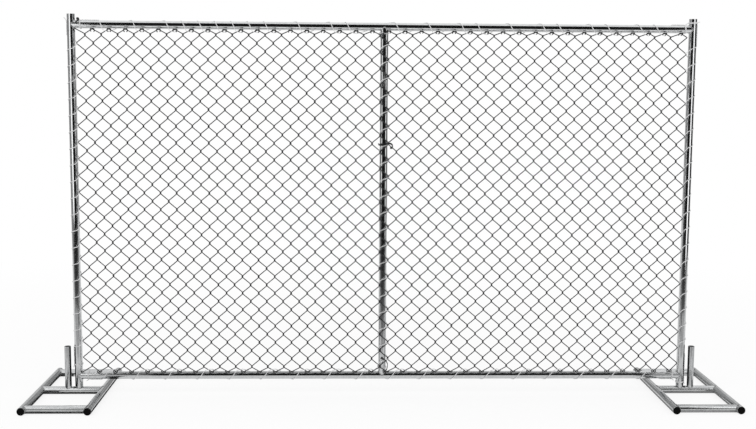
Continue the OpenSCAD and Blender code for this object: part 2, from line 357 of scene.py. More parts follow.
class NodeSketch:
    """Adds nodes and links to one node tree with short calls."""

    def __init__(self, tree: bpy.types.NodeTree) -> None:
        """Keeps the tree."""
        self.tree = tree

    def feed(self, node: bpy.types.Node, inputs: dict[str | int, object]) -> None:
        """Sets or links the inputs of a node.

        Args:
            node: the node
            inputs: value or output socket for each input, by name or index
        """
        for key, value in inputs.items():
            if isinstance(value, Socket):
                self.tree.links.new(value, node.inputs[key])
            else:
                node.inputs[key].default_value = value

    def add(self, kind: str, inputs: dict[str | int, object] | None = None, **settings: object) -> bpy.types.Node:
        """Adds a node.

        Args:
            kind: Blender's type name of the node, without the word ShaderNode
            inputs: value or output socket for each input, by name or index
            settings: attributes of the node

        Returns:
            The new node.
        """
        node = self.tree.nodes.new(kind if kind.startswith("NodeGroup") else "ShaderNode" + kind)
        for name, value in settings.items():
            setattr(node, name, value)
        self.feed(node, inputs or {})
        return node

    def effect(self, effect: "Effect", **values: float) -> Sockets:
        """Places an effect with its own values and returns its outputs."""
        return self.add("Group", values, node_tree=effect.group()).outputs

    def place(self) -> Socket:
        """The Object coordinates."""
        return self.add("TexCoord").outputs["Object"]

    def math(self, operation: str, *values: object, clamp: bool = False) -> Socket:
        """Adds a Math node and returns its output."""
        return self.add("Math", dict(enumerate(values)), operation=operation, use_clamp=clamp).outputs[0]

    def weigh(self, first: Socket, share: float, second: Socket) -> Socket:
        """The first value times its share, plus the second one times the rest."""
        return self.math("MULTIPLY_ADD", first, share, self.math("MULTIPLY", second, 1 - share))

    def noise(self, vector: Socket, scale: object, detail: float, **more: float) -> Socket:
        """Adds a Noise Texture node and returns its value."""
        return self.add("TexNoise", {"Vector": vector, "Scale": scale, "Detail": detail, **more}).outputs[0]

    def ramp(self, value: Socket, low: object, high: object) -> Socket:
        """Adds a smooth Map Range node from low and high to 0 and 1, and returns its output."""
        inputs = {"Value": value, "From Min": low, "From Max": high}
        return self.add("MapRange", inputs, interpolation_type="SMOOTHSTEP").outputs[0]

    def mix(self, share: Socket, first: Socket | Triple, second: Socket | Triple) -> Socket:
        """Adds a colour Mix node, whose inputs 6 and 7 are the colours, and returns its colour."""
        colours = [c if isinstance(c, Socket) else (*c, 1) for c in (first, second)]
        return self.add("Mix", {0: share, 6: colours[0], 7: colours[1]}, data_type="RGBA").outputs[2]

    def bump(self, height: Socket, depth: float) -> Socket:
        """Adds a Bump node of full strength and returns its normal."""
        return self.add("Bump", {"Strength": 1.0, "Distance": depth, "Height": height}).outputs[0]

    def cover(self, shader: Socket) -> None:
        """Makes the shader the material's surface."""
        self.feed(self.tree.nodes["Material Output"], {"Surface": shader})


def new_material(name: str) -> tuple[bpy.types.Material, NodeSketch]:
    """A new material with nodes, and the sketch of its tree.

    Args:
        name: the material's name

    Returns:
        The material and the sketch.
    """
    made = bpy.data.materials.new(name)
    made.use_nodes = True
    return made, NodeSketch(made.node_tree)


class Effect(Enum):
    """Effects that several finishes share, each a shader node group that is built once by the method of its name."""

    SPANGLE = "zinc_spangle"
    DRAWN = "drawn_lines"
    STAIN = "zinc_stain"
    GROUND = "ground_dust"

    def group(self) -> bpy.types.NodeTree:
        """The effect's node group, built at its first use.

        Returns:
            The group.
        """
        if self.value not in bpy.data.node_groups:
            getattr(self, self.value)()
        return bpy.data.node_groups[self.value]

    def begin(self, outputs: Sequence[str], **inputs: float) -> tuple[NodeSketch, Sockets, bpy.types.Node]:
        """Starts the effect's node group.

        Args:
            outputs: names of the values that come out
            inputs: default value of each named number that goes in

        Returns:
            The sketch of the group, the sockets of its input node, and its output node.
        """
        tree = bpy.data.node_groups.new(self.value, "ShaderNodeTree")
        for key, value in inputs.items():
            socket = tree.interface.new_socket(key, in_out="INPUT", socket_type="NodeSocketFloat")
            socket.default_value = value
        for key in outputs:
            tree.interface.new_socket(key, in_out="OUTPUT", socket_type="NodeSocketFloat")
        sketch = NodeSketch(tree)
        return sketch, sketch.add("NodeGroupInput").outputs, sketch.add("NodeGroupOutput")

    def zinc_spangle(self) -> None:
        """Crystals of a zinc coat: the shade of each cell of a warped Voronoi pattern, with a little fine noise."""
        warp_depth, fine_share, fine_relief, cell_relief = 0.004, 0.4, 0.7, 0.5
        s, given, out = self.begin(("Shade", "Relief"), Scale=160.0, Fine=900.0)
        place = s.place()
        warp = s.add("TexNoise", {"Vector": place, "Scale": given["Scale"], "Detail": 2.0}).outputs[1]
        push = s.add("VectorMath", {0: warp, 3: warp_depth}, operation="SCALE").outputs[0]
        moved = s.add("VectorMath", {0: place, 1: push}, operation="ADD").outputs[0]
        cells = s.add("TexVoronoi", {"Vector": moved, "Scale": given["Scale"]}).outputs
        shade = s.add("SeparateColor", {0: cells["Color"]}).outputs[0]
        fine = s.noise(place, given["Fine"], 3.0)
        relief = s.math("MULTIPLY_ADD", fine, fine_relief, s.math("MULTIPLY", cells["Distance"], cell_relief))
        s.feed(out, {"Shade": s.weigh(fine, fine_share, shade), "Relief": relief})

    def drawn_lines(self) -> None:
        """Lines along a drawn pipe or wire: noise on the UV map, stretched far along the piece and fine round it."""
        faint, full = 0.3, 0.72
        s, given, out = self.begin(("Lines",), Round=420.0, Along=3.0)
        place = s.add("SeparateXYZ", {0: s.add("TexCoord").outputs["UV"]}).outputs
        stretched = [s.math("MULTIPLY", place[k], given[key]) for k, key in enumerate(("Round", "Along"))]
        lines = s.noise(s.add("CombineXYZ", dict(enumerate(stretched))).outputs[0], 1.0, 4.0, Roughness=0.6)
        s.feed(out, {"Lines": s.ramp(lines, faint, full)})

    def zinc_stain(self) -> None:
        """Cloudy dull patches of weathered zinc: two sizes of noise on Object coordinates, cut to soft islands."""
        speck_scale, speck_share, rare, spread_by, soft_edge = 11.0, 0.35, 0.74, 0.34, 0.16
        s, given, out = self.begin(("Mask",), Scale=14.0, Spread=0.5)
        place = s.place()
        clouds = s.noise(place, given["Scale"], 5.0, Roughness=0.62, Distortion=0.6)
        specks = s.noise(place, s.math("MULTIPLY", given["Scale"], speck_scale), 3.0)
        low = s.math("SUBTRACT", rare, s.math("MULTIPLY", given["Spread"], spread_by))
        high = s.math("ADD", low, soft_edge)
        s.feed(out, {"Mask": s.ramp(s.weigh(specks, speck_share, clouds), low, high)})

    def ground_dust(self) -> None:
        """Dust that thins out with height: a fade over Object Z times noise."""
        grains, bare, dusty = 70.0, 0.35, 0.7
        s, given, out = self.begin(("Mask",), Height=0.05, Amount=0.5)
        place = s.place()
        height = s.add("SeparateXYZ", {0: place}).outputs[2]
        fade = s.math("SUBTRACT", 1.0, s.ramp(height, 0.0, given["Height"]))
        grain = s.ramp(s.noise(place, grains, 6.0, Roughness=0.7), bare, dusty)
        s.feed(out, {"Mask": s.math("MULTIPLY", s.math("MULTIPLY", fade, grain), given["Amount"])})


@dataclass(frozen=True)
class Finish:
    """A finish, which becomes one material."""

    name: str  # name of the material

    def material(self) -> bpy.types.Material:
        """The finish's material, built at its first use.

        Returns:
            The material.
        """
        if self.name not in bpy.data.materials:
            made, s = new_material(self.name)
            s.feed(made.node_tree.nodes["Principled BSDF"], self.inputs(s))
        return bpy.data.materials[self.name]

    def inputs(self, s: NodeSketch) -> dict[str | int, object]:
        """What goes into the finish's shader, drawn in the sketch of its material."""
        raise NotImplementedError


@dataclass(frozen=True)
class ZincFinish(Finish):
    """A galvanised surface: bright and dark zinc in spangles, drawn lines, dull stains and dust near the ground."""

    bright: Triple  # colour of the brightest crystals
    dark: Triple  # colour of the darkest crystals
    stain: Triple  # colour of the dull patches
    smooth: float  # roughness of bright zinc
    rough: float  # roughness added by stains and dust
    spangle: float = 160.0  # number of crystals in a metre
    lines: float = 0.35  # share of the drawn lines in the shade
    streaks: float = 420.0  # number of drawn lines in a metre round the piece
    spread: float = 0.4  # how far stains have spread, from 0 to 1
    dust_height: float = 0.04  # height to which dust reaches
    dust_amount: float = 0.2  # share of dust at the ground
    relief: float = 0.00001  # depth of the spangle
    metal: float = 1.0  # how far it reflects as bare metal, lower where the zinc has dulled to a pale bloom
    dust: Triple = (0.42, 0.40, 0.37)  # colour of the dust
    stain_cover: float = 0.8  # how far stains hide the zinc
    stain_rough: float = 0.7  # share of the added roughness that stains have
    crystal_rough: float = 0.05  # roughness that the brightest crystals add

    def inputs(self, s: NodeSketch) -> dict[str | int, object]:
        """What goes into the finish's shader.

        The shade mixes spangle and lines and picks between dark and bright zinc. Stains and dust are laid over it,
        and raise the roughness.

        Args:
            s: sketch of the finish's material

        Returns:
            Value or socket for each input.
        """
        spangle = s.effect(Effect.SPANGLE, Scale=self.spangle)
        lines = s.effect(Effect.DRAWN, Round=self.streaks)["Lines"]
        stain = s.effect(Effect.STAIN, Spread=self.spread)["Mask"]
        dust = s.effect(Effect.GROUND, Height=self.dust_height, Amount=self.dust_amount)["Mask"]
        zinc = s.mix(s.weigh(lines, self.lines, spangle["Shade"]), self.dark, self.bright)
        dull = s.mix(s.math("MULTIPLY", stain, self.stain_cover), zinc, self.stain)
        worn = s.math("MAXIMUM", s.math("MULTIPLY", stain, self.stain_rough), dust)
        rough = s.math("MULTIPLY_ADD", worn, self.rough, self.smooth)
        return {
            "Base Color": s.mix(dust, dull, self.dust),
            "Roughness": s.math("MULTIPLY_ADD", spangle["Shade"], self.crystal_rough, rough, clamp=True),
            "Normal": s.bump(spangle["Relief"], self.relief),
            "Metallic": s.math("SUBTRACT", self.metal, dust, clamp=True),
        }


@dataclass(frozen=True)
class PlasticFinish(Finish):
    """Moulded plastic with a fine grain, pale scuffs and dust."""

    colour: Triple  # the plastic's colour
    scuff: Triple  # colour of scuffed patches
    smooth: float = 0.46  # roughness of the moulded surface
    grain: float = 1400.0  # number of grains in a metre
    relief: float = 0.00008  # depth of the grain
    gloss: float = 0.08  # level of the surface's mirror reflection
    scuffs: float = 60.0  # number of scuffs in a metre
    spread: float = 0.3  # how far scuffs have spread, from 0 to 1
    dust_amount: float = 0.10  # share of dust at the ground
    scuff_cover: float = 0.5  # how far scuffs and dust hide the colour
    scuff_rough: float = 0.2  # roughness that scuffs and dust add

    def inputs(self, s: NodeSketch) -> dict[str | int, object]:
        """What goes into the finish's shader: grain in the bump, scuffs in colour and roughness.

        Args:
            s: sketch of the finish's material

        Returns:
            Value or socket for each input.
        """
        scuffs = s.effect(Effect.STAIN, Scale=self.scuffs, Spread=self.spread)["Mask"]
        mask = s.math("MAXIMUM", scuffs, s.effect(Effect.GROUND, Amount=self.dust_amount)["Mask"])
        return {
            "Base Color": s.mix(s.math("MULTIPLY", mask, self.scuff_cover), self.colour, self.scuff),
            "Roughness": s.math("MULTIPLY_ADD", mask, self.scuff_rough, self.smooth),
            "Normal": s.bump(s.noise(s.place(), self.grain, 2.0), self.relief),
            "Specular IOR Level": self.gloss,
        }


FRAME_ZINC = ZincFinish(
    "frame_zinc", bright=(0.82, 0.83, 0.83), dark=(0.54, 0.55, 0.56), stain=(0.52, 0.53, 0.53),
    smooth=0.11, rough=0.16, relief=0.000008)
STAND_ZINC = ZincFinish(
    "stand_zinc", bright=(0.90, 0.91, 0.91), dark=(0.30, 0.31, 0.32), stain=(0.42, 0.43, 0.43),
    smooth=0.13, rough=0.20, lines=0.6, streaks=160.0, spread=0.5, dust_amount=0.25)
WELD_ZINC = ZincFinish(
    "weld_zinc", bright=(0.66, 0.66, 0.66), dark=(0.50, 0.50, 0.51), stain=(0.42, 0.42, 0.42),
    smooth=0.22, rough=0.20, spangle=420.0, spread=0.5)
MESH_ZINC = ZincFinish(
    "mesh_zinc", bright=(0.12, 0.121, 0.123), dark=(0.045, 0.046, 0.047), stain=(0.08, 0.08, 0.08),
    smooth=0.28, rough=0.20, spangle=500.0, lines=0.2, dust_height=0.2, dust_amount=0.1)
LACING_ZINC = ZincFinish(
    "lacing_zinc", bright=(0.88, 0.88, 0.88), dark=(0.70, 0.70, 0.71), stain=(0.62, 0.62, 0.62),
    smooth=0.30, rough=0.20, spangle=600.0, lines=0.2, spread=0.25, metal=0.30)
PLUG_PLASTIC = PlasticFinish("black_plastic", colour=(0.001, 0.001, 0.001), scuff=(0.004, 0.004, 0.004))


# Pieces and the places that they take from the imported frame


def new_object(name: str, data: bpy.types.ID | None) -> Object:
    """A new object in the scene.

    Args:
        name: the object's name
        data: its mesh, lamp or camera, or None for an empty

    Returns:
        The object.
    """
    made = bpy.data.objects.new(name, data)
    bpy.context.scene.collection.objects.link(made)
    return made


@dataclass(frozen=True)
class Piece:
    """One piece of the fence panel, ready to be made."""

    name: str  # the piece's name
    patches: Sequence[Patch]  # the surfaces that it is made of
    finish: Finish  # the finish that it wears
    body: str  # the body that it rides on
    slot: str  # the record's material slot
    nodes: tuple[str, ...] = ()  # the solids that it stands for
    crease: float = PIPE_CREASE  # angle from which an edge is sharp

    def make(self) -> Object:
        """Builds the mesh, dresses it and ties it to its body.

        Returns:
            The piece's object.
        """
        starts = np.cumsum([0] + [len(p.points) for p in self.patches])
        points = np.concatenate([p.points for p in self.patches])
        quads = np.concatenate([p.quads + start for p, start in zip(self.patches, starts)])
        uv = np.concatenate([p.uv for p in self.patches])
        mesh = bpy.data.meshes.new(self.name)
        mesh.vertices.add(len(points))
        mesh.vertices.foreach_set("co", points.astype(np.float32).ravel())
        mesh.loops.add(quads.size)
        mesh.loops.foreach_set("vertex_index", quads.astype(np.int32).ravel())
        mesh.polygons.add(len(quads))
        mesh.polygons.foreach_set("loop_start", np.arange(0, quads.size, 4, dtype=np.int32))
        mesh.uv_layers.new(name="UVMap").data.foreach_set("uv", uv.astype(np.float32).ravel())
        mesh.update(calc_edges=True)
        mesh.polygons.foreach_set("use_smooth", np.ones(len(quads), bool))
        mesh.set_sharp_from_angle(angle=self.crease)
        mesh.materials.append(self.finish.material())
        made = new_object(self.name, mesh)
        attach(made, self.body)
        if self.nodes:
            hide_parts(*self.nodes)
        return made


def middle(node: str) -> Vector:
    """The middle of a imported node's box."""
    low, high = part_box(node)
    return (low + high) / 2


@dataclass(frozen=True)
class FrameSizes:
    """Places of the pipe frame."""

    pipe_radius: float  # outside radius of the pipes
    post_x: float  # distance of the posts' axes from the middle
    post_foot: float  # height of the posts' lower ends
    post_top: float  # height of the posts' tops
    top_z: float  # height of the top rail's axis
    bottom_z: float  # height of the bottom rail's axis

    @classmethod
    def read(cls) -> "FrameSizes":
        """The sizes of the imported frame.

        Returns:
            The sizes.
        """
        low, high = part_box("right_post")
        rail_low, rail_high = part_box("top_rail")
        radius, post_x = (rail_high.y - rail_low.y) / 2, middle("right_post").x
        return cls(radius, post_x, low.z, high.z, middle("top_rail").z, middle("bottom_rail").z)


@dataclass
class PipeFrame:
    """The welded frame: two posts, two rails and a brace."""

    sizes: FrameSizes  # places of the frame
    bead: Bead = Bead()  # the welds

    def pipes(self) -> dict[str, Pipe]:
        """Every pipe of the frame.

        Returns:
            The pipes by their nodes' names.
        """
        s = self.sizes
        post_ends = Cut(s.post_foot), Cut(s.post_top)
        rail_ends = [Cut(side.value * s.post_x, Axis.Z, s.pipe_radius) for side in Side]
        brace_ends = [Cut(z, Axis.X, s.pipe_radius) for z in (s.bottom_z, s.top_z)]
        places = {f"{side.word}_post": (Axis.Z, (side.value * s.post_x, 0, 0), post_ends) for side in Side} | {
            "top_rail": (Axis.X, (0, 0, s.top_z), rail_ends),
            "bottom_rail": (Axis.X, (0, 0, s.bottom_z), rail_ends),
            "centre_brace": (Axis.Z, (0, 0, 0), brace_ends),
        }
        return {node: Pipe(axis, centre, s.pipe_radius, *ends) for node, (axis, centre, ends) in places.items()}

    def pieces(self) -> Iterator[Piece]:
        """The frame's pipes, and one piece with the welds of all coped ends.

        Yields:
            Each piece.
        """
        pipes = self.pipes()
        for node, pipe in pipes.items():
            yield Piece(f"{node}_pipe", [pipe.patch()], FRAME_ZINC, "panel", "frame_pipe", (node,))
        yield Piece("frame_welds", self.bead.patches(pipes.values()), WELD_ZINC, "panel", "frame_pipe")


@dataclass
class ChainLinkFabric:
    """The woven mesh: zigzag wires, each hooked through the next at every bend.

    Wire i zigzags between column i and column i + 1. It bends past the column by the overshoot, passes in front
    of the mesh's middle plane on the way right and behind it on the way left, and its two ends curl into knuckles.
    """

    sizes: FrameSizes  # places of the frame
    wire: float = 0.0047  # diameter of the wire
    wires: int = 75  # number of zigzag wires
    pitch_x: float = 0.03948  # distance between columns
    pitch_z: float = 0.04078  # distance between rows of bends
    middle_x: float = 0.00176  # place of the middle column
    foot_z: float = 0.1097  # height of the lowest row, if it weren't pressed together
    rows: int = 42  # number of rows between the lowest and the highest one
    edges_z: tuple[float, float] = (0.1165, 1.798)  # heights of the lowest and the highest row, pressed together
    sides: int = 8  # corners of the wire's section
    seed: int = 11  # seed of the small irregularities
    gap: float = 0.0003  # gap between the mesh and the pipes
    hook_share: float = 0.55  # how far a bend passes its column, as a share of the wire
    depth_share: float = 0.62  # how far a wire's middle stands off the mesh's middle plane, as a share of the wire
    bend_share: float = 0.06  # size of a bend, as a share of a row
    turn_share: float = 0.06  # share of a row in which a wire crosses from one face to the other
    ring_shares: tuple[float, ...] = (0.0, 0.045, 0.15, 0.85, 0.955)  # places of the wire's rings, as shares of a row
    knuckle: float = 0.0046  # radius of the curled ends
    curl: float = math.radians(215)  # angle of a curl
    curl_range: tuple[float, float] = (-0.5, 0.3)  # lowest and highest error of a curl's angle
    curl_depth: tuple[float, float] = (0.1, -1.0)  # depths at a curl's start and end, as shares of the wire's depth
    curl_steps: int = 7  # rings of a curl
    slack: float = 0.0006  # size of the small irregularities
    shift_share: float = 0.4  # share of them in a whole wire's shift
    sway_share: float = 0.5  # share of them in a wire's sway
    sway_rate: float = 9.0  # angle of the sway in a metre of height
    sway_lag: float = 4000.0  # angle at which the sway starts, for each metre of irregularity
    sag: tuple[tuple[int, int, float, float], ...] = (  # powers of the places across and up, pull right and up
        (0, 0, 0.0014, 0.0016), (0, 1, -0.0023, 0.0065), (0, 2, -0.0011, -0.0079), (0, 3, -0.0032, -0.0064),
        (1, 0, 0.0090, 0.0041), (1, 1, -0.0035, -0.0003), (1, 2, -0.0059, 0.0031), (2, 0, -0.0026, 0.0034),
        (2, 1, 0.0020, -0.0091), (3, 0, -0.0128, -0.0021),
    )
    sag_middle: float = 0.95  # height at which the place up is zero
    sag_half: tuple[float, float] = (1.5, 0.85)  # half width and half height, at which the places are one

    @property
    def overshoot(self) -> float:
        """How far a bend passes its column, so that two wires hook past each other."""
        return self.hook_share * self.wire

    @property
    def depth(self) -> float:
        """How far a wire's middle stands off the mesh's middle plane."""
        return self.depth_share * self.wire

    @property
    def plane_y(self) -> float:
        """Place of the mesh's middle plane, in front of the pipes."""
        return -(self.sizes.pipe_radius + self.gap + self.depth + self.wire / 2)

    def column_x(self, column: Array | int) -> Array | float:
        """Place of a column of bends."""
        return self.middle_x + (column - self.wires / 2) * self.pitch_x

    def row_z(self, row: Array | int) -> Array | float:
        """Height of a row of bends."""
        return np.clip(self.foot_z + np.asarray(row) * self.pitch_z, *self.edges_z)

    def sagged(self, places: Array) -> Array:
        """The places after the pull of the stretched mesh.

        The pull is a sum of powers of the place across, in half widths, and of the place up, in half heights. It
        fades out within the outermost rows, because the rails hold the mesh's edges.

        Args:
            places: (..., 3) places in the even mesh

        Returns:
            (..., 3) places in the stretched mesh.
        """
        across = places[..., 0] / self.sag_half[0]
        up = (places[..., 2] - self.sag_middle) / self.sag_half[1]
        pull = sum(across[..., None] ** i * up[..., None] ** j * np.array([x, 0.0, z]) for i, j, x, z in self.sag)
        held = np.minimum(places[..., 2] - self.edges_z[0], self.edges_z[1] - places[..., 2]) / (self.pitch_z / 2)
        return places + pull * np.clip(held, 0, 1)[..., None]

    def node(self, column: Array | int, row: Array | int) -> Array:
        """Places where the wires on both sides of a column hook into each other."""
        return self.sagged(np.stack(np.broadcast_arrays(self.column_x(column), self.plane_y, self.row_z(row)), -1))

    def zigzag(self, wire: Array) -> Array:
        """Middle line of each wire between its two ends.

        Between two bends the wire runs straight from side to side, rounded at both bends: its share of the way is
        the square root of the distance to the bend squared plus the bend's size squared, scaled to meet itself
        half way. Its depth rises from zero at the bend to the full depth by m over the root of m squared plus the
        turn's size squared, where m is the distance to the nearest bend.

        Args:
            wire: numbers of the wires

        Returns:
            (wires, rings, 3) places.
        """
        step = np.concatenate([(np.arange(self.rows)[:, None] + np.array(self.ring_shares)).ravel(), [self.rows]])
        row = np.minimum(step.astype(int), self.rows - 1)
        tau = step - row
        near = 0.5 - np.abs(tau - 0.5)
        bend = self.bend_share
        eased = (np.sqrt(near**2 + bend**2) - bend) * 0.5 / (math.sqrt(0.25 + bend**2) - bend)
        eased = np.where(tau > 0.5, 1 - eased, eased)
        leans_right = (wire[:, None] + row) % 2 == 0
        left = self.column_x(wire)[:, None] - self.overshoot
        right = self.column_x(wire + 1)[:, None] + self.overshoot
        x = np.where(leans_right, left + (right - left) * eased, right + (left - right) * eased)
        y = np.where(leans_right, -1, 1) * self.depth * near / np.sqrt(near**2 + self.turn_share**2)
        z = self.row_z(row) + (self.row_z(row + 1) - self.row_z(row)) * tau
        return np.stack(np.broadcast_arrays(x, y + self.plane_y, z), -1)

    def knuckles(self, line: Array, end: int, rng: np.random.Generator) -> Array:
        """The curl at one end of each wire.

        The curl is an arc that starts in the wire's direction at its end and turns towards the middle of the mesh
        round the partner wire, while it passes from one face of the mesh to the other.

        Args:
            line: (wires, rings, 3) middle lines
            end: 0 for the lower ends, -1 for the upper ones
            rng: source of the curls' lengths

        Returns:
            (wires, steps, 3) places, outward from the end.
        """
        inward = 1 if end == 0 else -1
        tip, before = line[:, end], line[:, end + 2 * inward]
        heading = unit((tip - before)[:, [0, 2]])
        turn = np.sign(heading[:, :1]) * inward
        normal = np.stack([-heading[:, 1], heading[:, 0]], -1) * turn
        whole = self.curl + rng.uniform(*self.curl_range, (len(line), 1))
        angle = np.linspace(0, 1, self.curl_steps + 1)[1:] * whole
        sine, cosine = np.sin(angle)[..., None], np.cos(angle)[..., None]
        arc = self.knuckle * (heading[:, None] * sine + normal[:, None] * (1 - cosine))
        depth = np.where(turn > 0, 1, -1) * self.depth * np.linspace(*self.curl_depth, self.curl_steps)
        return np.stack([tip[:, :1] + arc[..., 0], self.plane_y + depth, tip[:, 2:] + arc[..., 1]], -1)

    def lines(self, wire: Array) -> Array:
        """Middle lines of whole wires: lower curl, zigzag and upper curl, each a little off its place.

        A wire is shifted to a side, and sways by the sine of its height.

        Args:
            wire: numbers of the wires

        Returns:
            (wires, rings, 3) places.
        """
        rng = np.random.default_rng(self.seed)
        loose = rng.normal(0, self.slack, (self.wires, 2, 1))[wire]
        line = self.zigzag(wire)
        whole = np.concatenate([self.knuckles(line, 0, rng)[:, ::-1], line, self.knuckles(line, -1, rng)], 1)
        sway = np.sin(whole[..., 2] * self.sway_rate + loose[:, 1] * self.sway_lag)
        whole[..., 0] += loose[:, 0] * self.shift_share + loose[:, 1] * self.sway_share * sway
        return self.sagged(whole)

    def pieces(self) -> Iterator[Piece]:
        """The mesh in two pieces, one for each bay of the frame.

        Yields:
            Each piece.
        """
        for side, wire in zip(Side, np.array_split(np.arange(self.wires), 2)):
            patch = sweep(self.lines(wire), np.array([0.0, 1.0, 0.0]), self.wire / 2, self.sides)
            yield Piece(f"chain_link_{side.word}_bay", [patch], MESH_ZINC, "panel", "mesh_wire",
                        ("chain_link_mesh",), WIRE_CREASE)


class Run(Enum):
    """The pipe that a lacing wire is wound round."""

    TOP = "top"
    BOTTOM = "bottom"
    LEFT = "left"
    RIGHT = "right"
    CENTRE = "centre"


@dataclass(frozen=True)
class Winding:
    """How one lacing wire is wound, as the photograph shows it."""

    origin: Triple  # a point on the pipe's axis
    along: Triple  # direction in which the wire advances
    toward: Triple  # direction from the pipe to the mesh
    caught: Array  # (turns, 3) bends of the mesh that the turns go through
    past: float  # how far a turn goes past the middle of the bend, or short of it if negative
    bend: float  # radius of the turn at the bend
    front: float  # advance from the far side of the pipe to the middle of its front
    catch: float  # advance from the far side to the bend
    ends: tuple[float, float]  # places of the tight turns at the wire's two ends
    tails: tuple[Triple, Triple]  # way of the loose ends along the pipe, towards the mesh and to the front
    tight: tuple[int, int] = (2, 2)  # number of tight turns at the wire's two ends
    laps: tuple[float, ...] = (0.015,)  # places across the pipe where a turn passes over the mesh's edge

    @property
    def starts(self) -> Array:
        """Where each turn starts along the pipe."""
        return self.caught @ np.array(self.along, float) - self.catch

    @property
    def reaches(self) -> Array:
        """How far each turn reaches from the pipe's axis."""
        return (self.caught - np.array(self.origin)) @ np.array(self.toward, float) + self.past


@dataclass(frozen=True)
class LooseEnd:
    """A doubled wire end that stands out of the lacing."""

    name: str  # name of its piece
    places: tuple[Triple, ...]  # places that its middle line passes
    wire: float = 0.0043  # diameter of a strand

    def patch(self, spacing: float, sides: int) -> Patch:
        """Two strands, one over the other, each a circle carried along the smoothed line through the places.

        Args:
            spacing: distance between the rings of a strand
            sides: corners of a strand's section

        Returns:
            The patch of both strands.
        """
        rise = np.array([-0.5, 0.5]) * self.wire
        side = np.array([0.0, 1.0, 0.2])  # no loose end runs this way
        strands = eased_path(np.array(self.places), spacing) + rise[:, None, None] * np.array([0.0, 0.0, 1.0])
        return sweep(strands, side, self.wire / 2, sides)


LOOSE_ENDS = (
    LooseEnd("brace_tie", (
        (-0.0245, -0.0040, 1.252), (-0.0250, -0.0252, 1.250), (-0.0190, -0.0342, 1.248), (0.0000, -0.0346, 1.250),
        (0.0190, -0.0346, 1.254), (0.0320, -0.0340, 1.256), (0.0410, -0.0334, 1.250), (0.0435, -0.0330, 1.240),
        (0.0395, -0.0328, 1.232), (0.0330, -0.0328, 1.231), (0.0300, -0.0328, 1.237),
    )),
    LooseEnd("corner_tie", (
        (-1.4780, 0.0215, 1.8300), (-1.4775, 0.0120, 1.8425), (-1.4775, -0.0030, 1.8445),
        (-1.4725, -0.0125, 1.8465), (-1.4640, -0.0135, 1.8455), (-1.4615, -0.0150, 1.8415),
        (-1.4670, -0.0200, 1.8365), (-1.4740, -0.0258, 1.8300), (-1.4795, -0.0275, 1.8235),
    )),
    LooseEnd("foot_tail", (
        (-0.0080, -0.0226, 0.186), (-0.0060, -0.0308, 0.187), (0.0000, -0.0346, 0.186), (0.0120, -0.0352, 0.181),
        (0.0220, -0.0350, 0.171), (0.0268, -0.0345, 0.158), (0.0262, -0.0342, 0.146), (0.0230, -0.0337, 0.133),
        (0.0160, -0.0332, 0.122), (0.0060, -0.0327, 0.117), (0.0020, -0.0317, 0.113),
    ), wire=0.0034),
)


